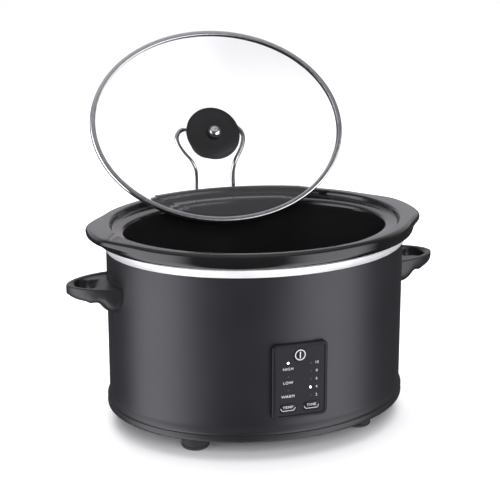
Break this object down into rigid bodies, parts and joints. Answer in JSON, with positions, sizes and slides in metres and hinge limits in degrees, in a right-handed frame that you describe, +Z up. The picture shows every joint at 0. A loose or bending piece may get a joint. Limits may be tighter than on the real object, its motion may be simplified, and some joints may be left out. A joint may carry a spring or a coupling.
{
  "type": "slow cooker",
  "caption": "Oval electric slow cooker with a lift-out stoneware crock, side handles, a front key panel, and a domed glass lid hung by its knob on a wire lid rest.",
  "frame": {"origin": "on the surface the feet stand on, under the middle of the whole object with its lid on the lid rest", "axes": "+X to the cooker's right-hand handle as seen from the front, +Y to the rear, +Z up; the key panel faces -Y"},
  "size_m": [0.3686, 0.2966, 0.3536],
  "materials": {
    "shell_paint": "satin black paint with a fine metallic fleck",
    "black_plastic": "fine moulded texture",
    "gloss_panel": "glossy black panel",
    "crock_glaze": "glossy black glaze",
    "trim_steel": "bright satin steel",
    "liner_aluminium": "drawn aluminised sheet",
    "heater_mica": "wrapped heating band",
    "rubber_feet": "matte rubber",
    "silicone_seal": "matte silicone",
    "lid_glass": "clear tempered glass",
    "lid_rim_steel": "polished steel",
    "wire_chrome": "polished chrome",
    "screw_steel": "zinc plated",
    "board_green": "circuit board",
    "component": "moulded component",
    "switch_grey": "moulded component",
    "lamp_window": "clear light guide"
  },
  "bodies": {
    "base": {"base_pan": "black_plastic", "body_shell": "shell_paint", "bracket_screw_lower": "screw_steel", "bracket_screw_upper": "screw_steel", "control_bezel": "black_plastic", "control_board": "board_green", "control_chip": "component", "cord_gland": "black_plastic", "filter_capacitor": "component", "foot_front_left": "rubber_feet", "foot_front_right": "rubber_feet", "foot_rear_left": "rubber_feet", "foot_rear_right": "rubber_feet", "foot_screw_front_left": "screw_steel", "foot_screw_front_right": "screw_steel", "foot_screw_rear_left": "screw_steel", "foot_screw_rear_right": "screw_steel", "handle_left": "black_plastic", "handle_left_screw_front": "screw_steel", "handle_left_screw_rear": "screw_steel", "handle_right": "black_plastic", "handle_right_screw_front": "screw_steel", "handle_right_screw_rear": "screw_steel", "heater_band": "heater_mica", "heating_liner": "liner_aluminium", "lamp_10_hours": "lamp_window", "lamp_2_hours": "lamp_window", "lamp_4_hours": "lamp_window", "lamp_6_hours": "lamp_window", "lamp_8_hours": "lamp_window", "lamp_high": "lamp_window", "lamp_low": "lamp_window", "lamp_warm": "lamp_window", "lid_rest_bracket": "black_plastic", "liner_stud": "screw_steel", "panel_face": "gloss_panel", "power_board": "board_green", "power_relay": "component", "power_switch": "switch_grey", "sensor_seat": "black_plastic", "sensor_spring": "screw_steel", "stud_nut": "screw_steel", "temp_switch": "switch_grey", "temperature_sensor": "screw_steel", "thermal_fuse": "switch_grey", "time_switch": "switch_grey", "trim_band": "trim_steel"},
    "crock": {"crock": "crock_glaze"},
    "lid": {"lid_glass": "lid_glass", "lid_rim": "lid_rim_steel", "lid_knob": "black_plastic", "knob_gasket": "silicone_seal", "screw_washer": "silicone_seal", "lid_screw": "wire_chrome"},
    "lid_rest": {"lid_rest_wire": "wire_chrome"},
    "power_button": {"power_key": "gloss_panel"},
    "temp_button": {"temp_key": "gloss_panel"},
    "time_button": {"time_key": "gloss_panel"}
  },
  "joints": [
    {"name": "crock_lift", "type": "slide", "parent": "base", "child": "crock", "axis": [0, 0, 1], "range_m": [0, 0.16]},
    {"name": "lid_lift", "type": "slide", "parent": "crock", "child": "lid", "axis": [0, 0, 1], "range_m": [0, 0.2]},
    {"name": "lid_rest_slide", "type": "slide", "parent": "base", "child": "lid_rest", "axis": [0, 0, 1], "range_m": [-0.044, 0]},
    {"name": "power_press", "type": "slide", "parent": "base", "child": "power_button", "axis": [0, 1, 0], "range_m": [0, 0.001], "stiffness_N_per_m": 1500, "springref_m": -0.0004},
    {"name": "temp_press", "type": "slide", "parent": "base", "child": "temp_button", "axis": [0, 1, 0], "range_m": [0, 0.001], "stiffness_N_per_m": 1500, "springref_m": -0.0004},
    {"name": "time_press", "type": "slide", "parent": "base", "child": "time_button", "axis": [0, 1, 0], "range_m": [0, 0.001], "stiffness_N_per_m": 1500, "springref_m": -0.0004}
  ]
}
